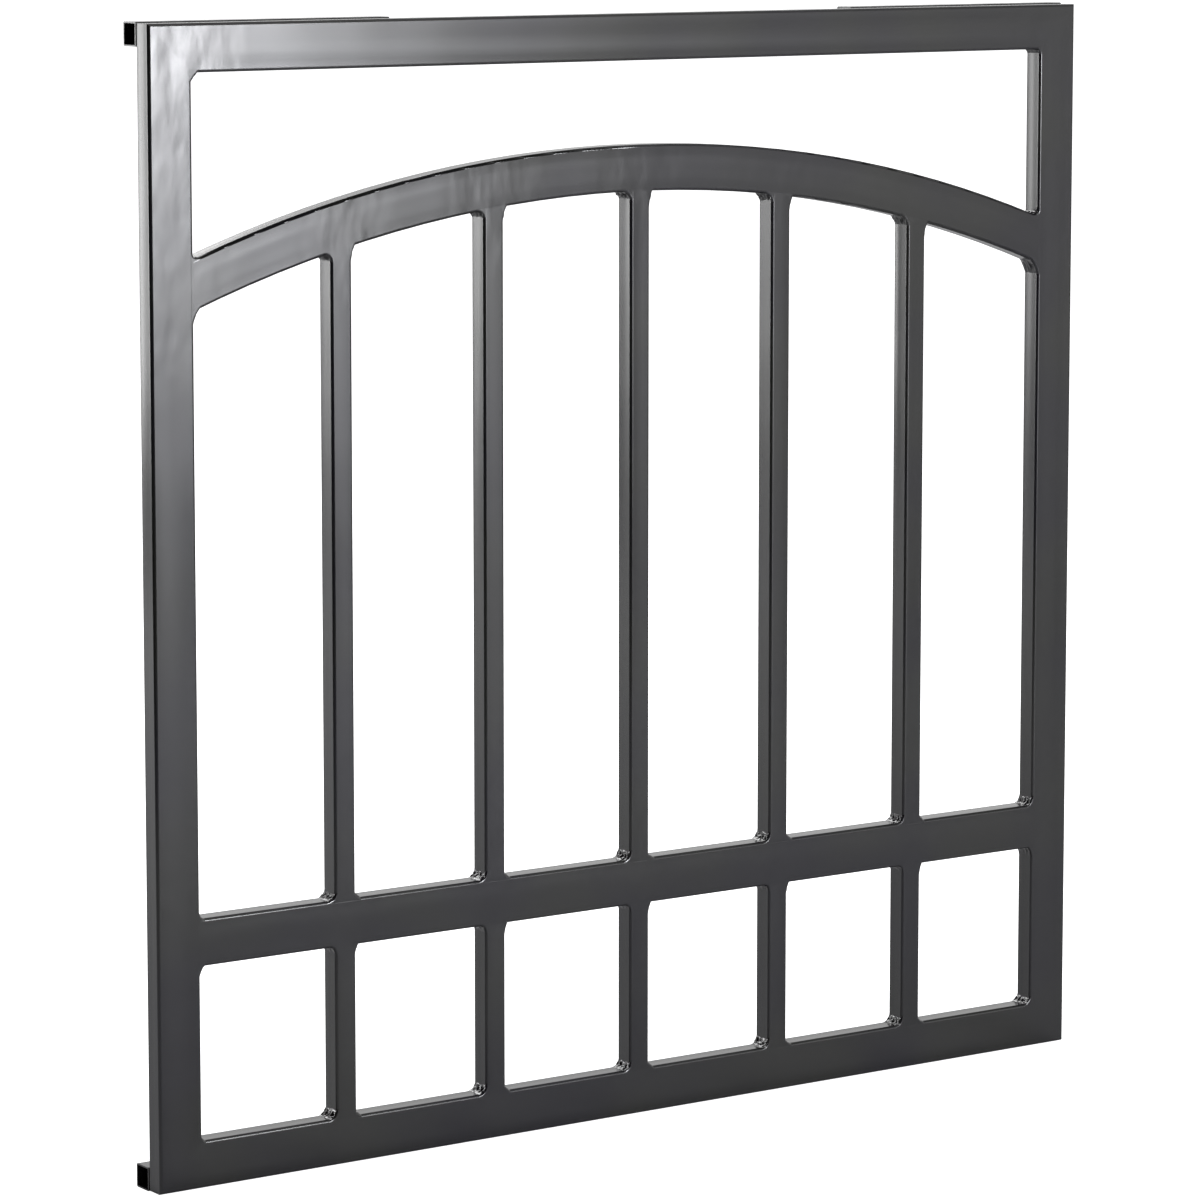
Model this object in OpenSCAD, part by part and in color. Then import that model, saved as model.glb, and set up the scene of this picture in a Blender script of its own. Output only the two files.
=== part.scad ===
// Window security guard: a welded tube frame with an arched rail over upright bars,
// and four arms that slide out of square sleeves behind the corners to meet the wall.
// The front faces -Y, +Z is up, and the backs of the sleeves lie against the wall.

/* [Frame] */
// Overall width of the frame
frame_w = 914.4; // [600:0.1:1500]
// Overall height of the frame
frame_h = 914.4; // [600:0.1:1500]
// Face width of the stiles and rails
rail_w = 38.1; // [25:0.05:50]
// Front-to-back depth of the stiles, rails and bars
rail_d = 19.05; // [12:0.05:40]
// Wall thickness of the frame tubes
rail_wall = 1.5; // [0.9:0.1:2.5]
// Outside corner radius of the frame tubes and bars
edge_r = 2.4; // [1.5:0.1:4]

/* [Bars and rails] */
// Face width of the upright bars
bar_w = 19.05; // [12:0.05:30]
// Wall thickness of the bar tubes
bar_wall = 1.2; // [0.8:0.1:2]
// Clear height of the square openings under the middle rail
lower_opening_h = 139.7; // [60:0.1:250]
// Gap between the top rail and the crown of the arched rail
crown_gap = 68.3; // [20:0.1:150]
// Rise of the arched rail from the stiles to its crown, on its centre line
arch_rise = 76.2; // [30:0.1:150]

/* [Sleeves and arms] */
// Length of the square sleeves behind the corners
sleeve_len = 228.6; // [150:0.1:280]
// Outside width of the sleeves
sleeve_w = 19.05; // [15:0.05:30]
// Wall thickness of the sleeves
sleeve_wall = 1.2; // [0.8:0.1:2]
// Outside corner radius of the sleeves and arms
sleeve_edge_r = 1.3; // [1:0.1:3]
// How far the sleeves stand past the top and bottom of the frame
sleeve_proud = 1; // [0:0.1:3]
// Gap between an arm and its sleeve on each side
arm_gap = 0.4; // [0.25:0.05:0.8]
// Wall thickness of the arms
arm_wall = 1.5; // [1:0.1:2.5]
// Depth of a stowed arm's end inside the sleeve's mouth
arm_setback = 28.6; // [0:0.1:60]
// Diameter of the screw holes through the arms
screw_hole_d = 7.1; // [5:0.1:9]
// Distance from an arm's end to its first screw hole
screw_hole_end = 12.7; // [10:0.1:25]
// Spacing of an arm's two screw holes
screw_hole_pitch = 25.4; // [15:0.1:50]

/* [Welds] */
// Leg length of the fillet welds in the corners of the openings
weld_leg = 7; // [4:0.5:10]
// Leg length of the beads that hold the sleeves
sleeve_weld_leg = 4.5; // [3:0.5:7]
// Length of each bead along a sleeve
sleeve_weld_len = 30; // [15:1:45]

/* [Hidden] */
sides = [-1, 1];
bar_count = 5;
half_w = frame_w / 2;
inner_w = frame_w - 2 * rail_w;
// The lower sleeves touch Z = 0, and the frame starts above it
frame_z = sleeve_proud;
frame_top = frame_z + frame_h;
mid_z = frame_z + rail_w + lower_opening_h;
upper_z = mid_z + rail_w;
bar_pitch = (inner_w + bar_w) / (bar_count + 1);

// The frame's depth runs from frame_front to frame_back, and the sleeves stand behind it
frame_front = -(rail_d + sleeve_w) / 2;
frame_back = frame_front + rail_d;
frame_mid_y = (frame_front + frame_back) / 2;
sleeve_mid_y = frame_back + sleeve_w / 2;

// The arched rail: a circle through the rise at mid span and zero at the stiles
arch_r = (pow(inner_w / 2, 2) + pow(arch_rise, 2)) / (2 * arch_rise);
arch_under_r = arch_r - rail_w / 2;
arch_top_r = arch_r + rail_w / 2;
arch_centre_z = frame_top - rail_w - crown_gap - arch_top_r;

sleeve_in = sleeve_w - 2 * sleeve_wall;
arm_w = sleeve_in - 2 * arm_gap;
arm_len = sleeve_len - arm_setback;
sleeve_weld_count = 3;
bead_hollow = 0.12;
// How far ground welds lie below the tubes' faces, and run on past their toes
weld_under = 0.15;
weld_runout = 1.5 * edge_r;
// Gap between a weld and the tubes it joins, so that their solids never overlap
weld_gap = 0.05;
overlap = 1;
edge_fn = 48;
weld_face_fn = 96;
arch_fn = 360;

function bar_x(i) = -inner_w / 2 + i * bar_pitch - bar_w / 2;
function arch_under_z(x) = arch_centre_z + sqrt(pow(arch_under_r, 2) - x * x);
function sleeve_z(end) = end > 0 ? frame_top + sleeve_proud - sleeve_w / 2 : sleeve_w / 2;

// A rectangle with round corners, centred on the origin
module round_rect(w, h, r) {
    square([w - 2 * r, h], center = true);
    square([w, h - 2 * r], center = true);
    for (sx = sides, sy = sides)
        translate([sx * (w / 2 - r), sy * (h / 2 - r)])
            circle(r, $fn = edge_fn);
}

// The cross-section of a tube, with an inside corner that follows the outside one
module tube_section(w, h, r, wall) {
    difference() {
        round_rect(w, h, r);
        round_rect(w - 2 * wall, h - 2 * wall, max(r - wall, wall / 4));
    }
}

module upright(x, z, len) {
    translate([x, frame_mid_y, z])
        linear_extrude(len)
            children();
}

module level(x, y, z, len) {
    translate([x, y, z])
        rotate([90, 0, 90])
            linear_extrude(len)
                children();
}

// A flat XZ shape given a thickness from y0 to y1
module slab(y0, y1) {
    translate([0, y1, 0])
        rotate([90, 0, 0])
            linear_extrude(y1 - y0)
                children();
}

// One of four wedges of the frame's outline, cut along the mitres
module mitre_cut(points) {
    slab(frame_front - overlap, frame_back + overlap)
        polygon(points);
}

module stile(side) {
    color("dimgray")
        intersection() {
            upright(side * (half_w - rail_w / 2), frame_z, frame_h)
                tube_section(rail_w, rail_d, edge_r, rail_wall);
            mitre_cut([
                [side * half_w, frame_z], [side * (half_w - rail_w), frame_z + rail_w],
                [side * (half_w - rail_w), frame_top - rail_w], [side * half_w, frame_top]
            ]);
        }
}

module end_rail(end) {
    edge_z = end > 0 ? frame_top : frame_z;
    inner_z = edge_z - end * rail_w;
    color("dimgray")
        intersection() {
            level(-half_w, frame_mid_y, (edge_z + inner_z) / 2, frame_w)
                tube_section(rail_d, rail_w, edge_r, rail_wall);
            mitre_cut([
                [-half_w, edge_z], [half_w, edge_z],
                [half_w - rail_w, inner_z], [rail_w - half_w, inner_z]
            ]);
        }
}

module mid_rail() {
    color("dimgray")
        level(-inner_w / 2, frame_mid_y, mid_z + rail_w / 2, inner_w)
            tube_section(rail_d, rail_w, edge_r, rail_wall);
}

module arch_rail() {
    color("dimgray")
        intersection() {
            translate([0, frame_mid_y, arch_centre_z])
                rotate([90, 0, 0])
                    rotate_extrude($fn = arch_fn)
                        translate([arch_r, 0])
                            tube_section(rail_w, rail_d, edge_r, rail_wall);
            translate([-inner_w / 2, frame_front - overlap, upper_z])
                cube([inner_w, rail_d + 2 * overlap, frame_h]);
        }
}

// A bar from the middle rail up to the underside of the arch, its end shaped to the curve
module upper_bar(i) {
    color("slategray")
        intersection() {
            upright(bar_x(i), upper_z, frame_top - upper_z)
                tube_section(bar_w, rail_d, edge_r, bar_wall);
            translate([0, 0, arch_centre_z])
                slab(frame_front - overlap, frame_back + overlap)
                    circle(arch_under_r, $fn = arch_fn);
        }
}

module lower_bar(i) {
    color("slategray")
        upright(bar_x(i), frame_z + rail_w, lower_opening_h)
            tube_section(bar_w, rail_d, edge_r, bar_wall);
}

module sleeve(side, end) {
    color("gray")
        level(side > 0 ? half_w - sleeve_len : -half_w, sleeve_mid_y, sleeve_z(end), sleeve_len)
            tube_section(sleeve_w, sleeve_w, sleeve_edge_r, sleeve_wall);
}

// An arm pushed right in, with two screw holes through it near its outer end
module arm(side, end) {
    tip_x = side * (half_w - arm_setback);
    color("silver")
        difference() {
            level(side > 0 ? tip_x - arm_len : tip_x, sleeve_mid_y, sleeve_z(end), arm_len)
                tube_section(arm_w, arm_w, sleeve_edge_r, arm_wall);
            for (i = [0, 1])
                translate([
                    tip_x - side * (screw_hole_end + i * screw_hole_pitch),
                    sleeve_mid_y, sleeve_z(end)
                ])
                    rotate([90, 0, 0])
                        cylinder(d = screw_hole_d, h = arm_w + 2 * overlap, center = true, $fn = edge_fn);
        }
}

// A flat weld shape given the depth of a tube, less the little that grinding takes off
module weld_slab(points) {
    slab(frame_front + weld_under, frame_back - weld_under)
        polygon(points);
}

// The two points past a fillet's toes, along its face, where it has sunk into both tubes
function past_toes(toe_a, toe_b) =
    let (along = (toe_b - toe_a) / norm(toe_b - toe_a))
    [toe_a - weld_runout * along, toe_b + weld_runout * along];

// The section of a tube with the gap that its welds keep from it. The tube that stands on
// the other keeps a tighter corner, so the two tubes' round edges never start in one plane.
module weld_clearance(w, h, standing = false) {
    round_rect(w + 2 * weld_gap, h + 2 * weld_gap, standing ? edge_r : edge_r + weld_gap);
}

// The weld round a tube of width w that stands up from a face through the origin, ground
// flush front and back. The face is tilted from level, and its own tube is rail_w wide.
// The tube's end runs past the face by end_lap where the face is really a curve.
module tee_weld(w, tilt, end_lap = 0) {
    face = [1, tan(tilt)];
    left = past_toes(-(w / 2 + weld_leg) * face, -w / 2 * face + [0, weld_leg]);
    right = past_toes(w / 2 * face + [0, weld_leg], (w / 2 + weld_leg) * face);
    far = 2 * w;
    color("dimgray")
        difference() {
            weld_slab(concat(left, right));
            rotate([0, -tilt, 0])
                level(-far, frame_mid_y, -rail_w / 2, 2 * far)
                    weld_clearance(rail_d, rail_w);
            intersection() {
                upright(0, -far, 2 * far)
                    weld_clearance(w, rail_d, standing = true);
                rotate([0, -tilt, 0])
                    upright(0, -weld_gap - end_lap, 2 * far)
                        square(2 * far, center = true);
            }
        }
}

module bar_foot_weld(i, z) {
    translate([bar_x(i), 0, z])
        tee_weld(bar_w, 0);
}

module bar_top_weld(i, z, slope, end_lap) {
    translate([bar_x(i), 0, z])
        rotate([0, 180, 0])
            tee_weld(bar_w, slope, end_lap);
}

module frame_corner_welds() {
    for (side = sides, end = sides)
        color("dimgray")
            frame_corner_weld(side, end);
}

module frame_corner_weld(side, end) {
    x = side * inner_w / 2;
    z = end > 0 ? frame_top - rail_w : frame_z + rail_w;
    face = past_toes([x - side * weld_leg, z], [x, z - end * weld_leg]);
    difference() {
        weld_slab(concat(face, [[x + side * rail_w / 2, z + end * rail_w / 2]]));
        upright(side * (half_w - rail_w / 2), frame_z, frame_h)
            weld_clearance(rail_w, rail_d, standing = true);
        level(-half_w, frame_mid_y, z + end * rail_w / 2, frame_w)
            weld_clearance(rail_d, rail_w);
    }
}

module mid_rail_welds() {
    for (side = sides)
        translate([side * inner_w / 2, 0, mid_z + rail_w / 2])
            rotate([0, -90 * side, 0])
                tee_weld(rail_w, 0);
}

module arch_rail_welds() {
    end_slope = asin(inner_w / 2 / arch_r);
    end_z = arch_centre_z + arch_r * cos(end_slope);
    for (side = sides)
        translate([side * inner_w / 2, 0, end_z])
            rotate([0, -side * (90 - end_slope), 0])
                tee_weld(rail_w, side * end_slope);
}

// Each top weld lies under the straight line between the points where its toes meet the arch
module upper_bar_top_welds() {
    reach = bar_w / 2 + weld_leg;
    for (i = [1:bar_count]) {
        left_z = arch_under_z(bar_x(i) - reach);
        right_z = arch_under_z(bar_x(i) + reach);
        line_z = (left_z + right_z) / 2;
        bar_top_weld(i, line_z, atan((right_z - left_z) / (2 * reach)), arch_under_z(bar_x(i)) - line_z);
    }
}

module upper_bar_foot_welds() {
    for (i = [1:bar_count])
        bar_foot_weld(i, upper_z);
}

module lower_bar_top_welds() {
    for (i = [1:bar_count])
        bar_top_weld(i, mid_z, 0, 0);
}

module lower_bar_foot_welds() {
    for (i = [1:bar_count])
        bar_foot_weld(i, frame_z + rail_w);
}

// The outline of a sleeve's bead: a corner and two toes, with a slightly hollow face
module bead_outline(corner, toe_a, toe_b) {
    chord = norm(toe_b - toe_a);
    sag = bead_hollow * chord;
    face_r = (pow(chord / 2, 2) + sag * sag) / (2 * sag);
    middle = (toe_a + toe_b) / 2;
    across = [toe_a.y - toe_b.y, toe_b.x - toe_a.x] / chord;
    outward = (middle - corner) * across > 0 ? across : -across;
    difference() {
        polygon([corner, toe_a, toe_b]);
        translate(middle + outward * (face_r - sag))
            circle(face_r, $fn = weld_face_fn);
    }
}

// Three beads along each sleeve, in the corner between its side and the rail's back
module sleeve_welds() {
    pitch = sleeve_len / sleeve_weld_count;
    for (side = sides, end = sides, i = [0:sleeve_weld_count - 1])
        translate([side * (half_w - (i + 0.5) * pitch), 0, sleeve_z(end) - end * sleeve_w / 2])
            color("dimgray")
                sleeve_bead(-end);
}

module sleeve_bead(open_z) {
    level(-sleeve_weld_len / 2, 0, 0, sleeve_weld_len)
        bead_outline(
            [frame_back, 0], [frame_back + sleeve_weld_leg, 0], [frame_back, open_z * sleeve_weld_leg]
        );
}

stile(-1);  // left_stile
stile(1);  // right_stile
end_rail(1);  // top_rail
end_rail(-1);  // bottom_rail
mid_rail();
arch_rail();
for (i = [1:bar_count]) {
    upper_bar(i);
    lower_bar(i);
}
sleeve(-1, 1);  // upper_left_sleeve
sleeve(1, 1);  // upper_right_sleeve
sleeve(-1, -1);  // lower_left_sleeve
sleeve(1, -1);  // lower_right_sleeve
arm(-1, 1);  // upper_left_arm
arm(1, 1);  // upper_right_arm
arm(-1, -1);  // lower_left_arm
arm(1, -1);  // lower_right_arm
frame_corner_welds();
mid_rail_welds();
arch_rail_welds();
upper_bar_top_welds();
upper_bar_foot_welds();
lower_bar_top_welds();
lower_bar_foot_welds();
sleeve_welds();
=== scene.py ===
# Window security guard in gloss black paint, dressed around its CAD parts.
# Metres, +Z up, the front faces -Y.
import math
import random

import bpy
import bmesh
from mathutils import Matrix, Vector, noise


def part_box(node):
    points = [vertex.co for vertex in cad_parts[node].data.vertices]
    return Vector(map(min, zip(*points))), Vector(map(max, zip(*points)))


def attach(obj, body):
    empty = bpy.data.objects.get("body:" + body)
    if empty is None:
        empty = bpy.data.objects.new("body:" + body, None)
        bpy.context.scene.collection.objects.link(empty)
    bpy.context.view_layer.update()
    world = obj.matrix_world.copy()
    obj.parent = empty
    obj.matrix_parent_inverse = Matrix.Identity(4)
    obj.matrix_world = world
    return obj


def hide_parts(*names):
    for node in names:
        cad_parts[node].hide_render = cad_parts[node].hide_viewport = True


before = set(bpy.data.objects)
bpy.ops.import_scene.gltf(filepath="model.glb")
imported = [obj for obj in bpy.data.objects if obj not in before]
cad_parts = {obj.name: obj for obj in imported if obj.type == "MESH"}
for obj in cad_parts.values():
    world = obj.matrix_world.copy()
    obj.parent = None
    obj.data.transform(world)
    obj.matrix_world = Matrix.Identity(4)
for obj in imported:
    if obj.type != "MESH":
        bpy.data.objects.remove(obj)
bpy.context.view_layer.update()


def readGuard():
    # what the CAD says about the guard's own sizes
    stileLow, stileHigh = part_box("left_stile")
    midLow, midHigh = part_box("mid_rail")
    archLow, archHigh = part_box("arch_rail")
    bottomLow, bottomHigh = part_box("bottom_rail")
    topLow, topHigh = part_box("top_rail")
    barBoxes = [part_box(f"lower_bar_{i}") for i in range(1, 6)]
    face = midHigh.z - midLow.z                       # face width of the stiles and rails
    half = midHigh.x
    drop = archHigh.z - archLow.z
    outer = (drop**2 + half**2 - face**2) / (2 * (drop - face))
    bars = [(low.x + high.x) / 2 for low, high in barBoxes]
    return {
        "front": stileLow.y, "back": stileHigh.y, "face": face, "halfInner": half,
        "bottomRailTop": bottomHigh.z, "midUnder": midLow.z, "midTop": midHigh.z,
        "topRailUnder": topLow.z + (topHigh.z - topLow.z - face), "archOuter": outer,
        "archInner": outer - face, "archCentre": archHigh.z - outer,
        "bars": bars, "pitch": bars[1] - bars[0],
        "barWidth": barBoxes[0][1].x - barBoxes[0][0].x,
    }


guard = readGuard()


def archUnder(x):
    return guard["archCentre"] + math.sqrt(guard["archInner"] ** 2 - x * x)


def archTop(x):
    return guard["archCentre"] + math.sqrt(guard["archOuter"] ** 2 - x * x)


def directionTo(azimuth, elevation):
    # azimuth is measured from straight in front of the guard towards +X
    turn, lift = math.radians(azimuth), math.radians(elevation)
    return Vector((math.sin(turn) * math.cos(lift), -math.cos(turn) * math.cos(lift), math.sin(lift)))


def newGroup(name, inputs, outputs):
    # every group takes a vector and some numbers, and puts out numbers that change over the surface
    group = bpy.data.node_groups.new(name, "ShaderNodeTree")
    group.interface.new_socket("Vector", in_out="INPUT", socket_type="NodeSocketVector")
    for label in inputs:
        group.interface.new_socket(label, in_out="INPUT", socket_type="NodeSocketFloat")
    for label in outputs:
        group.interface.new_socket(label, in_out="OUTPUT", socket_type="NodeSocketFloat")
    return group, group.nodes.new("NodeGroupInput"), group.nodes.new("NodeGroupOutput")


def mathNode(tree, operation, first, second=None, third=None):
    node = tree.nodes.new("ShaderNodeMath")
    node.operation = operation
    for slot, value in enumerate((first, second, third)):
        if value is None:
            continue
        if isinstance(value, (int, float)):
            node.inputs[slot].default_value = value
        else:
            tree.links.new(value, node.inputs[slot])
    return node.outputs[0]


def noiseNode(tree, vector, scale, detail=2.0, rough=0.5):
    node = tree.nodes.new("ShaderNodeTexNoise")
    tree.links.new(vector, node.inputs["Vector"])
    for label, value in (("Scale", scale), ("Detail", detail), ("Roughness", rough)):
        if isinstance(value, (int, float)):
            node.inputs[label].default_value = value
        else:
            tree.links.new(value, node.inputs[label])
    return node.outputs["Fac"]


def splitVector(tree, vector):
    node = tree.nodes.new("ShaderNodeSeparateXYZ")
    tree.links.new(vector, node.inputs[0])
    return node.outputs["X"], node.outputs["Y"], node.outputs["Z"]


def archRadius(tree, x, z):
    # distance from the centre that the arched rail was rolled round
    rise = mathNode(tree, "SUBTRACT", z, guard["archCentre"])
    squares = mathNode(tree, "ADD", mathNode(tree, "MULTIPLY", x, x), mathNode(tree, "MULTIPLY", rise, rise))
    return mathNode(tree, "SQRT", squares)


def smoothRange(tree, value, low, high, toLow=0.0, toHigh=1.0):
    node = tree.nodes.new("ShaderNodeMapRange")
    node.interpolation_type = "SMOOTHSTEP"
    tree.links.new(value, node.inputs["Value"])
    for label, amount in (("From Min", low), ("From Max", high), ("To Min", toLow), ("To Max", toHigh)):
        node.inputs[label].default_value = amount
    return node.outputs["Result"]


def buildOrangePeel():
    # the fine dimples that sprayed enamel dries with
    group, start, end = newGroup("orangePeel", ["Dimples", "Depth"], ["Height"])
    dimples = noiseNode(group, start.outputs["Vector"], start.outputs["Dimples"], 1.0)
    group.links.new(mathNode(group, "MULTIPLY", dimples, start.outputs["Depth"]), end.inputs["Height"])
    return group


def buildRolledLines():
    # the long shallow lines that rolling leaves along a tube, taken from a vector squeezed along the tube
    leftByWeld = 0.35  # how much of the lines the grinder left
    group, start, end = newGroup("rolledLines", ["Lines", "Depth", "Near weld"], ["Height", "Sheen"])
    lines = noiseNode(group, start.outputs["Vector"], start.outputs["Lines"], 1.0, 0.4)
    away = smoothRange(group, start.outputs["Near weld"], 0.0, 1.0, 1.0, leftByWeld)
    height = mathNode(group, "MULTIPLY", mathNode(group, "MULTIPLY", lines, start.outputs["Depth"]), away)
    group.links.new(height, end.inputs["Height"])
    group.links.new(lines, end.inputs["Sheen"])
    return group


def buildGroundSwirls():
    # the soft hollows a grinder leaves where a joint was dressed flush, and the slight bow everywhere else
    lean, stretch = 0.75, 0.42  # the grinder was held aslant, so its hollows are long one way
    swirlScale, bowScale = 62.0, 9.0
    group, start, end = newGroup("groundSwirls", ["Depth", "Bow", "Near weld"], ["Height", "Cloud"])
    bent = group.nodes.new("ShaderNodeMapping")
    bent.inputs["Rotation"].default_value = (0.0, lean, 0.0)
    bent.inputs["Scale"].default_value = (1.0, 1.0, stretch)
    group.links.new(start.outputs["Vector"], bent.inputs["Vector"])
    swirls = noiseNode(group, bent.outputs["Vector"], swirlScale, 1.5)
    bow = noiseNode(group, start.outputs["Vector"], bowScale, 1.0)
    dressed = mathNode(group, "MULTIPLY", mathNode(group, "MULTIPLY", swirls, start.outputs["Depth"]),
                       start.outputs["Near weld"])
    group.links.new(mathNode(group, "MULTIPLY_ADD", bow, start.outputs["Bow"], dressed), end.inputs["Height"])
    group.links.new(bow, end.inputs["Cloud"])
    return group


orangePeel = buildOrangePeel()
rolledLines = buildRolledLines()
groundSwirls = buildGroundSwirls()


def placeGroup(tree, group, **values):
    node = tree.nodes.new("ShaderNodeGroup")
    node.node_tree = group
    for label, value in values.items():
        socket = node.inputs[label.replace("_", " ")]
        if isinstance(value, (int, float)):
            socket.default_value = value
        else:
            tree.links.new(value, socket)
    return node


blackPaint = {
    # depths are in metres; squeeze stretches the rolled lines along the tube
    "base": (0.0098, 0.0098, 0.0088), "baseDeep": (0.0064, 0.0060, 0.0082),
    "roughness": (0.18, 0.25), "ior": 1.5,
    "dimples": 420.0, "peelDepth": 5e-6,
    "lines": 62.0, "lineDepth": 4e-4, "squeeze": 0.006,
    "swirlDepth": 4.2e-4, "bow": 6e-4,
    "weldReach": (0.01, 0.07), "uprightReach": 0.004,
    "level": (0.55, 0.95), "cloud": (0.35, 0.65), "sheen": (0.3, 0.7),
}


def nearWeldMask(tree, position, layout, look):
    # 1 beside a weld, fading to 0 where the tube is as it was rolled
    near, far = look["weldReach"]
    x, _, z = splitVector(tree, position)
    if layout == "topRail":
        # only the two mitred ends of the top rail were dressed
        gap = mathNode(tree, "SUBTRACT", guard["halfInner"], mathNode(tree, "ABSOLUTE", x))
        return smoothRange(tree, gap, 0.0, far, 1.0, 0.0)
    if layout in ("rail", "arch"):
        gap = mathNode(tree, "PINGPONG", x, guard["pitch"] / 2)
        return smoothRange(tree, gap, near, far, 1.0, 0.0)
    # uprights meet the rails at known heights, and the arch at its own radius
    toArch = mathNode(tree, "SUBTRACT", guard["archInner"], archRadius(tree, x, z))
    midHeight = (guard["midTop"] + guard["midUnder"]) / 2
    toMid = mathNode(tree, "ABSOLUTE", mathNode(tree, "SUBTRACT", z, midHeight))
    toMid = mathNode(tree, "SUBTRACT", toMid, guard["face"] / 2)
    toBottom = mathNode(tree, "SUBTRACT", z, guard["bottomRailTop"])
    nearest = mathNode(tree, "MINIMUM", mathNode(tree, "MINIMUM", toArch, toMid), toBottom)
    return smoothRange(tree, nearest, look["uprightReach"], far, 1.0, 0.0)


def makePaint(name, layout, look):
    material = bpy.data.materials.new(name)
    material.use_nodes = True
    tree = material.node_tree
    shader = tree.nodes["Principled BSDF"]
    shader.inputs["IOR"].default_value = look["ior"]
    place = tree.nodes.new("ShaderNodeTexCoord")
    position = place.outputs["Object"]
    near = nearWeldMask(tree, position, layout, look)
    # only the front and back faces were dressed
    _, facing, _ = splitVector(tree, place.outputs["Normal"])
    level = smoothRange(tree, mathNode(tree, "ABSOLUTE", facing), *look["level"])
    near = mathNode(tree, "MULTIPLY", near, level)

    # the vector that the rolled lines follow: full scale across the tube, squeezed along it
    squeeze = look["squeeze"]
    if layout == "arch":
        x, y, z = splitVector(tree, position)
        join = tree.nodes.new("ShaderNodeCombineXYZ")
        tree.links.new(mathNode(tree, "MULTIPLY", x, squeeze), join.inputs["X"])
        tree.links.new(y, join.inputs["Y"])
        tree.links.new(archRadius(tree, x, z), join.inputs["Z"])
        lineVector = join.outputs[0]
    else:
        mapping = tree.nodes.new("ShaderNodeMapping")
        mapping.inputs["Scale"].default_value = (1, 1, squeeze) if layout == "upright" else (squeeze, 1, 1)
        tree.links.new(position, mapping.inputs["Vector"])
        lineVector = mapping.outputs["Vector"]

    peel = placeGroup(tree, orangePeel, Vector=position, Dimples=look["dimples"], Depth=look["peelDepth"])
    lines = placeGroup(tree, rolledLines, Vector=lineVector, Lines=look["lines"], Depth=look["lineDepth"],
                       Near_weld=near)
    swirls = placeGroup(tree, groundSwirls, Vector=position, Depth=look["swirlDepth"], Bow=look["bow"],
                        Near_weld=near)
    height = mathNode(tree, "ADD", mathNode(tree, "ADD", peel.outputs["Height"], lines.outputs["Height"]),
                      swirls.outputs["Height"])
    bump = tree.nodes.new("ShaderNodeBump")
    bump.inputs["Distance"].default_value = 1.0
    tree.links.new(height, bump.inputs["Height"])
    tree.links.new(bump.outputs["Normal"], shader.inputs["Normal"])

    mix = tree.nodes.new("ShaderNodeMix")
    mix.data_type = "RGBA"
    mix.clamp_factor = True
    mix.inputs["A"].default_value = (*look["baseDeep"], 1)
    mix.inputs["B"].default_value = (*look["base"], 1)
    tree.links.new(smoothRange(tree, swirls.outputs["Cloud"], *look["cloud"]), mix.inputs["Factor"])
    tree.links.new(mix.outputs["Result"], shader.inputs["Base Color"])
    sheen = smoothRange(tree, lines.outputs["Sheen"], *look["sheen"], *look["roughness"])
    tree.links.new(sheen, shader.inputs["Roughness"])
    return material


def paintNode(name, material):
    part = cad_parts[name]
    for slot in range(len(part.data.materials)):
        part.data.materials[slot] = material
    part.data.update()


uprightPaint = makePaint("blackPaintUpright", "upright", blackPaint)
railPaint = makePaint("blackPaintRail", "rail", blackPaint)
topRailPaint = makePaint("blackPaintTopRail", "topRail", blackPaint)
archPaint = makePaint("blackPaintArch", "arch", {**blackPaint, "swirlDepth": 3.2e-4})
sleevePaint = makePaint("blackPaintSleeve", "rail", {**blackPaint, "lineDepth": 1e-5})
armPaint = makePaint("satinPaintArm", "rail", {**blackPaint, "roughness": (0.42, 0.5), "peelDepth": 3e-6})
weldPaint = makePaint("blackPaintWeld", "rail", {**blackPaint, "lineDepth": 0.0})

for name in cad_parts:
    if name.endswith("_stile") or "_bar_" in name:
        paintNode(name, uprightPaint)
    elif name == "arch_rail":
        paintNode(name, archPaint)
    elif name == "top_rail":
        paintNode(name, topRailPaint)
    elif name.endswith("_rail"):
        paintNode(name, railPaint)
    elif name.endswith("_sleeve"):
        paintNode(name, sleevePaint)
    elif name.endswith("_arm"):
        paintNode(name, armPaint)
    elif name.endswith("_welds"):
        paintNode(name, weldPaint)
print("paints placed on the CAD parts")


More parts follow.
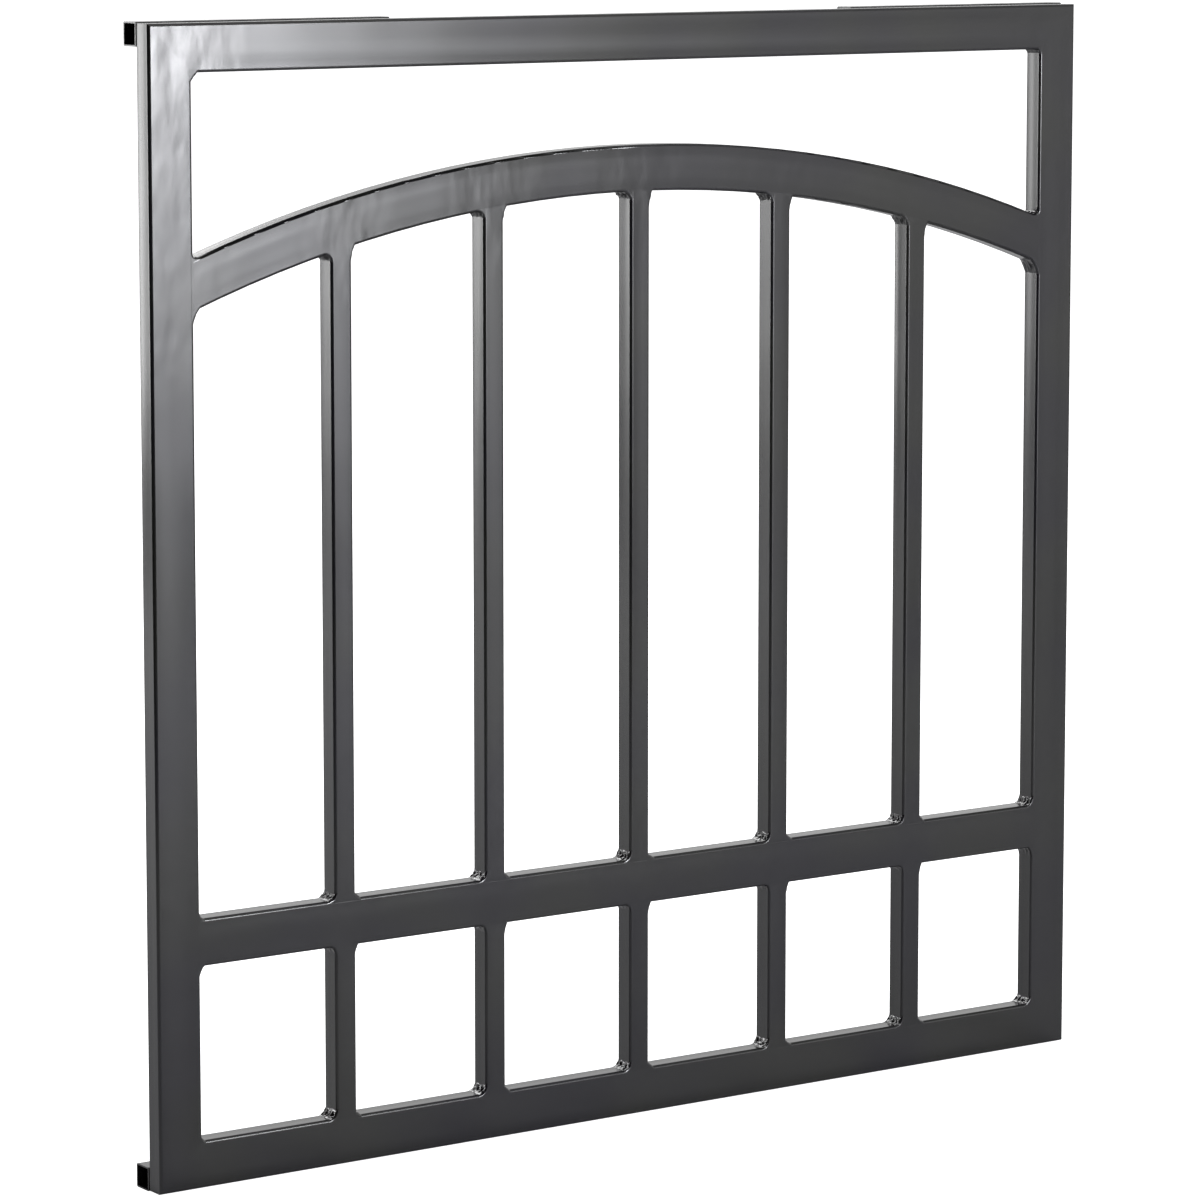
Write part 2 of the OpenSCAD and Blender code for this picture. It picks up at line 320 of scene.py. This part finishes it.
# the welds were dressed flush at the front and back, and left as laid inside the corners
cornerWeld = {
    # for each kind of corner: reach along the rail, reach along the upright,
    # 1 for a straight face and less for a hollow one, and how lumpy it is
    "shapes": {
        "barFootLeft": (0.0054, 0.0056, 0.35, 1.5), "barFootRight": (0.0046, 0.0036, 0.9, 0.7),
        "lowTopLeft": (0.0040, 0.0048, 0.4, 0.5), "lowTopRight": (0.0026, 0.0076, 0.75, 0.6),
        "archTopLeft": (0.0052, 0.0056, 0.45, 1.5), "archTopRight": (0.0034, 0.0108, 0.7, 0.9),
        "railEndTop": (0.0036, 0.0046, 0.5, 0.7), "railEndUnder": (0.0044, 0.0070, 0.6, 0.5),
        "archEndTop": (0.0042, 0.0034, 0.5, 1.4), "archEndUnder": (0.0066, 0.0090, 0.6, 0.8),
        "frameSharp": (0.0030, 0.0034, 0.6, 0.5), "frameStraight": (0.0056, 0.0064, 0.9, 0.7),
        "lumpyCorner": (0.0056, 0.0058, 0.4, 1.5),
    },
    "legSpread": 0.12, "toeShare": 0.08, "runout": 0.0018,  # how the toes vary and run on into the tubes
    "edgeRound": 0.0019, "edgeOver": 1.12, "under": 0.00002,
    "root": 0.0032, "rootSpread": 0.6,
    "bulge": 0.0005, "bulgeSpread": (0.3, 1.2),
    "ripple": 0.00022, "pitch": (0.0031, 0.0043), "sweep": 0.0016, "starts": (0, 6.28),
    "lump": 0.0008, "lumpSize": 250.0, "fineLump": 0.45, "fineLumpSize": 2.3, "toeLump": 0.3,
    "crater": 0.0009, "craterSize": 0.0022, "craterWide": 1.4,
    "craterAt": (0.1, 0.26), "craterSide": (0.3, 0.7),
    "stripOver": 0.0006, "stripUnder": 0.00001,
    "columns": 22, "roundRows": 6, "faceRows": 26, "seed": 11,
}
fullTurn = 6.2832  # radians in one ripple


def flat(x, z):
    return Vector((x, z))


def edgeProfile(look):
    # (inset from the weld's face, depth from the front) all the way from front to back
    depth = guard["back"] - guard["front"]
    r = look["edgeRound"]
    rows = [(r * look["edgeOver"], look["under"]), (r, look["under"])]
    for i in range(1, look["roundRows"] + 1):
        turn = math.pi / 2 * i / look["roundRows"]
        rows.append((r * (1 - math.sin(turn)), look["under"] + r * (1 - math.cos(turn))))
    mirrored = [(inset, depth - at) for inset, at in reversed(rows)]
    first = rows[-1][1]
    for i in range(1, look["faceRows"]):
        rows.append((0.0, first + (depth - 2 * first) * i / look["faceRows"]))
    return rows + mirrored


def addCornerWeld(shape, corner, alongRail, alongUpright, kind, look, dice):
    # columns run from the rail's toe to the upright's toe, and rows from the front to the back
    railLeg, uprightLeg, hollow, rough = look["shapes"][kind]
    railToe = corner + alongRail * railLeg * (1 + dice.uniform(-1, 1) * look["legSpread"])
    uprightToe = corner + alongUpright * uprightLeg * (1 + dice.uniform(-1, 1) * look["legSpread"])
    pull = corner + ((railToe + uprightToe) / 2 - corner) * hollow
    bulge, ripple = look["bulge"] * rough * dice.uniform(*look["bulgeSpread"]), look["ripple"] * rough
    pitch, phase = dice.uniform(*look["pitch"]), dice.uniform(*look["starts"])
    craterAt, craterSide = dice.uniform(*look["craterAt"]), dice.uniform(*look["craterSide"])
    outward = (alongRail + alongUpright).normalized()
    depth = guard["back"] - guard["front"]
    rows = edgeProfile(look)
    grid = []
    toe = look["toeShare"]
    for column in range(look["columns"]):
        t = column / (look["columns"] - 1)
        # the outermost columns run on past the toes, into the tubes
        s = min(max((t - toe) / (1 - 2 * toe), 0.0), 1.0)
        point = railToe * (1 - s) ** 2 + pull * (2 * s * (1 - s)) + uprightToe * s**2
        slope = ((pull - railToe) * (1 - s) + (uprightToe - pull) * s).normalized()
        past = max(0.0, toe - t) / toe - max(0.0, t - (1 - toe)) / toe
        point = point - slope * past * look["runout"]
        normal = flat(-slope.y, slope.x)
        if normal.dot(outward) < 0:
            normal = -normal
        crown = math.sin(math.pi * s)
        root = corner - (alongRail + alongUpright) * look["root"]
        root = root + (alongRail * (1 - t) + alongUpright * t) * look["root"] * look["rootSpread"]
        line = [shape.verts.new((root.x, guard["front"] + look["under"], root.y))]
        for inset, at in rows:
            share = 1.0 - min(1.0, inset / look["edgeRound"])
            wave = math.cos(fullTurn * (at + look["sweep"] * crown) / pitch + phase)
            laid = bulge * crown + ripple * crown * wave
            spot = Vector((point.x, at, point.y)) * look["lumpSize"]
            lumps = noise.noise(spot) + look["fineLump"] * noise.noise(spot * look["fineLumpSize"])
            laid += look["lump"] * rough * lumps * (look["toeLump"] + (1 - look["toeLump"]) * crown)
            gap = math.hypot((s - craterSide) * railLeg * look["craterWide"], at - craterAt * depth)
            laid -= look["crater"] * rough * math.exp(-((gap / look["craterSize"]) ** 2)) * crown
            # the laid surface fades out towards the front and back, where it was dressed
            away = laid * share * share - inset
            line.append(shape.verts.new((point.x + normal.x * away, guard["front"] + at,
                                         point.y + normal.y * away)))
        line.append(shape.verts.new((root.x, guard["back"] - look["under"], root.y)))
        grid.append(line)
    for first, second in zip(grid, grid[1:]):
        for row in range(len(first) - 1):
            shape.faces.new((first[row], first[row + 1], second[row + 1], second[row]))


def addFlushStrip(shape, low, high, outOfFace, look):
    # a plate that fills the groove between a tube's end and the round edge it stands on, front and back
    inner, outer = outOfFace * -look["root"], outOfFace * look["stripOver"]
    for edge, step in ((guard["front"], 1), (guard["back"], -1)):
        y = edge + step * (look["under"] + look["stripUnder"])
        outline = (low + inner, high + inner, high + outer, low + outer)
        plate = [shape.verts.new((point.x, y, point.y)) for point in outline]
        shape.faces.new(plate if step * outOfFace.cross(high - low) > 0 else plate[::-1])


def finishPiece(name, shape, material, replaced):
    bmesh.ops.recalc_face_normals(shape, faces=shape.faces[:])
    mesh = bpy.data.meshes.new(name)
    shape.to_mesh(mesh)
    shape.free()
    for face in mesh.polygons:
        face.use_smooth = True
    piece = bpy.data.objects.new(name, mesh)
    bpy.context.scene.collection.objects.link(piece)
    mesh.materials.append(material)
    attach(piece, "guard")
    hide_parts(replaced)


def archSlope(x, radius):
    # unit direction along the arch at x, towards +X
    up = math.sqrt(radius**2 - x * x)
    return flat(up, -x).normalized()


def buildWeldPiece(name, node, joints, look, seed):
    # a joint is a list of corners, each (place, along the rail, along the upright, kind), and a list of strips
    dice = random.Random(seed)
    shape = bmesh.new()
    for corners, strips in joints:
        for corner, alongRail, alongUpright, kind in corners:
            addCornerWeld(shape, corner, alongRail, alongUpright, kind, look, dice)
        for low, high, outOfFace in strips:
            addFlushStrip(shape, low, high, outOfFace, look)
    finishPiece(name, shape, weldPaint, node)


def barJoint(x, z, up, kinds):
    # a bar standing on (up 1) or hanging from (up -1) a level face
    half = guard["barWidth"] / 2
    right, out = flat(1, 0), flat(0, up)
    low, high = flat(x - half, z), flat(x + half, z)
    return ([(low, -right, out, kinds[0]), (high, right, out, kinds[1])], [(low, high, out)])


def barTopJoint(x):
    half = guard["barWidth"] / 2
    low, high = flat(x - half, archUnder(x - half)), flat(x + half, archUnder(x + half))
    slope = (high - low).normalized()
    down, radius = flat(0, -1), guard["archInner"]
    return ([(low, -archSlope(low.x, radius), down, "archTopLeft"),
             (high, archSlope(high.x, radius), down, "archTopRight")],
            [(low, high, flat(slope.y, -slope.x))])


def midRailJoint(side):
    x = side * guard["halfInner"]
    inward, up = flat(-side, 0), flat(0, 1)
    low, high = flat(x, guard["midUnder"]), flat(x, guard["midTop"])
    upper = "lumpyCorner" if side > 0 else "railEndTop"
    return ([(low, inward, -up, "railEndUnder"), (high, inward, up, upper)], [(low, high, inward)])


def archJoint(side):
    x, up = side * guard["halfInner"], flat(0, 1)
    low = flat(x, archUnder(x))
    high = flat(x, archTop(x))
    return ([(low, archSlope(x, guard["archInner"]) * -side, -up, "archEndUnder"),
             (high, archSlope(x, guard["archOuter"]) * -side, up, "archEndTop")],
            [(low, high, flat(-side, 0))])


def frameCorner(side, end, kind):
    z = guard["topRailUnder"] if end > 0 else guard["bottomRailTop"]
    return ([(flat(side * guard["halfInner"], z), flat(-side, 0), flat(0, -end), kind)], [])


bars, midTop, midUnder, railTop = (guard[key] for key in ("bars", "midTop", "midUnder", "bottomRailTop"))
feet, lowTops = ("barFootLeft", "barFootRight"), ("lowTopLeft", "lowTopRight")
weldJoints = {
    "frameCornerWelds": ("frame_corner_welds", [
        frameCorner(-1, -1, "frameSharp"), frameCorner(-1, 1, "frameStraight"),
        frameCorner(1, -1, "lumpyCorner"), frameCorner(1, 1, "frameSharp")]),
    "midRailWelds": ("mid_rail_welds", [midRailJoint(side) for side in (-1, 1)]),
    "archRailWelds": ("arch_rail_welds", [archJoint(side) for side in (-1, 1)]),
    "upperBarTopWelds": ("upper_bar_top_welds", [barTopJoint(x) for x in bars]),
    "upperBarFootWelds": ("upper_bar_foot_welds", [barJoint(x, midTop, 1, feet) for x in bars]),
    "lowerBarTopWelds": ("lower_bar_top_welds", [barJoint(x, midUnder, -1, lowTops) for x in bars]),
    "lowerBarFootWelds": ("lower_bar_foot_welds", [barJoint(x, railTop, 1, feet) for x in bars]),
}
for number, (name, (node, joints)) in enumerate(weldJoints.items()):
    buildWeldPiece(name, node, joints, cornerWeld, cornerWeld["seed"] + number)
print("corner welds laid:", sum(len(corners) for _, joints in weldJoints.values() for corners, _ in joints))

sleeveBead = {
    "count": 3, "length": 0.030, "leg": 0.0044, "ends": 0.004, "endLeg": 0.25,
    "bulge": 0.0009, "ripple": 0.0003, "pitch": 0.0034, "sweep": 0.0012,
    "lump": 0.00035, "lumpSize": 240, "lumpAcross": 0.01,
    "sunk": 0.0002, "root": 0.0004,  # how far the bead and its root sit inside the tubes
    "rings": 60, "arc": 10,
}


def beadRing(shape, x, fromEnd, z, openSide, look):
    # one ring of a bead: an arc from the rail's back to the sleeve, closed at its root
    full = math.sqrt(max(0.0, 1 - (1 - min(1.0, fromEnd)) ** 2))
    leg = look["leg"] * (look["endLeg"] + (1 - look["endLeg"]) * full)
    diagonal = 0.707  # the crown swells out halfway between the rail and the sleeve
    ring = []
    for i in range(look["arc"] + 1):
        s = i / look["arc"]
        crown = math.sin(math.pi * s)
        wave = math.cos(fullTurn * (x + look["sweep"] * crown) / look["pitch"])
        laid = look["bulge"] + look["ripple"] * wave
        laid += look["lump"] * noise.noise(Vector((x, s * look["lumpAcross"], z)) * look["lumpSize"])
        laid *= crown * full
        y = leg * (1 - s) + laid * diagonal - look["sunk"]
        rise = leg * s + laid * diagonal - look["sunk"]
        ring.append(shape.verts.new((x, guard["back"] + y, z + openSide * rise)))
    ring.append(shape.verts.new((x, guard["back"] - look["root"], z - openSide * look["root"])))
    return ring


def buildSleeveBeads(look):
    shape = bmesh.new()
    half = look["length"] / 2
    for end, side in (("upper", "left"), ("upper", "right"), ("lower", "left"), ("lower", "right")):
        low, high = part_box(f"{end}_{side}_sleeve")
        z, openSide = (low.z, -1) if end == "upper" else (high.z, 1)
        step = (high.x - low.x) / look["count"]
        for bead in range(look["count"]):
            middle = low.x + (bead + 0.5) * step
            rings = []
            for i in range(look["rings"] + 1):
                x = middle + look["length"] * (i / look["rings"] - 0.5)
                fromEnd = min(x - middle + half, middle + half - x) / look["ends"]
                rings.append(beadRing(shape, x, fromEnd, z, openSide, look))
            count = len(rings[0])
            for first, second in zip(rings, rings[1:]):
                for i in range(count):
                    after = (i + 1) % count
                    shape.faces.new((first[i], second[i], second[after], first[after]))
            shape.faces.new(rings[0])
            shape.faces.new(rings[-1][::-1])
    finishPiece("sleeveBeads", shape, weldPaint, "sleeve_welds")


buildSleeveBeads(sleeveBead)
print("sleeve beads laid")


studio = {
    "floorSize": 60.0, "floorDrop": 0.0003, "floorRough": 0.8,
    "floorColor": (0.56, 0.56, 0.57), "floorGlow": 1.05,
    "roomDark": 0.15, "roomRight": 1.0, "roomBack": 1.1, "turnOver": (-0.1, 0.45),
    "overhead": (0.35, 0.75), "overheadLevel": 0.25, "whiteSeen": 1.15,
}


def makeFloor(look):
    mesh = bpy.data.meshes.new("studioFloor")
    shape = bmesh.new()
    bmesh.ops.create_grid(shape, x_segments=2, y_segments=2, size=look["floorSize"] / 2)
    shape.to_mesh(mesh)
    shape.free()
    floor = bpy.data.objects.new("studioFloor", mesh)
    floor.location.z = -look["floorDrop"]
    bpy.context.scene.collection.objects.link(floor)
    material = bpy.data.materials.new("paleFloor")
    material.use_nodes = True
    tree = material.node_tree
    shader = tree.nodes["Principled BSDF"]
    shader.inputs["Base Color"].default_value = (*look["floorColor"], 1)
    shader.inputs["Roughness"].default_value = look["floorRough"]
    shader.inputs["Emission Color"].default_value = (1, 1, 1, 1)
    path = tree.nodes.new("ShaderNodeLightPath")
    tree.links.new(mathNode(tree, "MULTIPLY", path.outputs["Is Camera Ray"], look["floorGlow"]),
                   shader.inputs["Emission Strength"])
    mesh.materials.append(material)


def makeWorld(look):
    world = bpy.data.worlds.new("studioWorld")
    bpy.context.scene.world = world
    world.use_nodes = True
    tree = world.node_tree
    background = tree.nodes["Background"]
    # a bright backdrop behind the guard and a dimmer room around the camera
    x, y, z = splitVector(tree, tree.nodes.new("ShaderNodeTexCoord").outputs["Generated"])
    right = smoothRange(tree, x, *look["turnOver"], look["roomDark"], look["roomRight"])
    behind = smoothRange(tree, y, *look["turnOver"], look["roomDark"], look["roomBack"])
    around = mathNode(tree, "MAXIMUM", right, behind)
    overhead = smoothRange(tree, z, *look["overhead"], 1.0, look["overheadLevel"])
    level = mathNode(tree, "MULTIPLY", around, overhead)
    seen = tree.nodes.new("ShaderNodeMix")
    path = tree.nodes.new("ShaderNodeLightPath")
    tree.links.new(path.outputs["Is Camera Ray"], seen.inputs["Factor"])
    tree.links.new(level, seen.inputs["A"])
    seen.inputs["B"].default_value = look["whiteSeen"]
    tree.links.new(seen.outputs["Result"], background.inputs["Strength"])
    background.inputs["Color"].default_value = (1, 1, 1, 1)


# a curved black card on the camera's side, which the rounded edges pick up as a dark line
flagCard = {"radius": 2.2, "turn": (-125, 8), "height": 1.6, "folds": 40,
            "color": (0.01, 0.01, 0.01), "roughness": 0.9, "specular": 0.1}


def makeBlackFlag(look):
    shape = bmesh.new()
    first, last = (math.radians(angle) for angle in look["turn"])
    columns = []
    for i in range(look["folds"] + 1):
        turn = first + (last - first) * i / look["folds"]
        x, y = math.sin(turn) * look["radius"], -math.cos(turn) * look["radius"]
        columns.append([shape.verts.new((x, y, z)) for z in (0.0, look["height"])])
    for near, far in zip(columns, columns[1:]):
        shape.faces.new((near[0], far[0], far[1], near[1]))
    mesh = bpy.data.meshes.new("blackFlag")
    shape.to_mesh(mesh)
    shape.free()
    card = bpy.data.objects.new("blackFlag", mesh)
    bpy.context.scene.collection.objects.link(card)
    material = bpy.data.materials.new("blackCard")
    material.use_nodes = True
    shader = material.node_tree.nodes["Principled BSDF"]
    shader.inputs["Base Color"].default_value = (*look["color"], 1)
    shader.inputs["Roughness"].default_value = look["roughness"]
    shader.inputs["Specular IOR Level"].default_value = look["specular"]
    mesh.materials.append(material)
    card.visible_camera = False
    card.visible_shadow = False


topLeft = (-guard["halfInner"], 0.0, 0.9)
coolTint = (0.97, 0.98, 1.02)
softboxes = {
    # where it aims, its azimuth, elevation and distance from there, its size, radiance and tint
    "frontGlow": (topLeft, 23, 4, 3.2, (0.7, 0.8), 40.0, coolTint),
    "frontSpill": (topLeft, 25, 0, 3.4, (1.1, 1.4), 7.5, coolTint),
    "rightSpill": ((0.3, 0, 0.5), 37, 0, 3.4, (1.6, 1.0), 0.8, (1, 1, 1)),
    "backGlow": (topLeft, 217.8, 0, 3.4, (0.8, 1.3), 13.5, (1, 1, 1)),
    "topFill": ((0, 0, 0.5), 60, 65, 4.0, (2.5, 2.5), 0.8, (1, 1, 1)),
    "backFill": ((0, 1.3, 0.0), 180, 60, 4.0, (2.5, 2.0), 10.0, (1, 1, 1)),
}


def makeSoftbox(name, aim, azimuth, elevation, distance, size, radiance, tint):
    away = directionTo(azimuth, elevation)
    light = bpy.data.lights.new(name, "AREA")
    light.shape = "RECTANGLE"
    light.size, light.size_y = size
    light.energy = radiance * math.pi * size[0] * size[1]
    light.color = tint
    lamp = bpy.data.objects.new(name, light)
    lamp.location = Vector(aim) + away * distance
    lamp.rotation_mode = "QUATERNION"
    lamp.rotation_quaternion = away.to_track_quat("Z", "Y")
    lamp.visible_camera = False
    bpy.context.scene.collection.objects.link(lamp)


makeFloor(studio)
makeWorld(studio)
makeBlackFlag(flagCard)
for name, setting in softboxes.items():
    makeSoftbox(name, *setting)
print("studio lit")


shot = {"target": (-0.0401, -0.01905, 0.5364), "azimuth": -34.43, "elevation": 7.12,
        "distance": 4.067, "lens": 149.36, "sensor": 36.0, "drop": -0.1}


def makeCamera(look):
    data = bpy.data.cameras.new("studioCamera")
    data.lens, data.sensor_width = look["lens"], look["sensor"]
    data.shift_y = look["drop"]
    camera = bpy.data.objects.new("studioCamera", data)
    away = directionTo(look["azimuth"], look["elevation"])
    camera.location = Vector(look["target"]) + away * look["distance"]
    camera.rotation_mode = "QUATERNION"
    camera.rotation_quaternion = away.to_track_quat("Z", "Y")
    bpy.context.scene.collection.objects.link(camera)
    bpy.context.scene.camera = camera


makeCamera(shot)
bpy.context.scene.view_settings.view_transform = "Standard"
print("camera set")
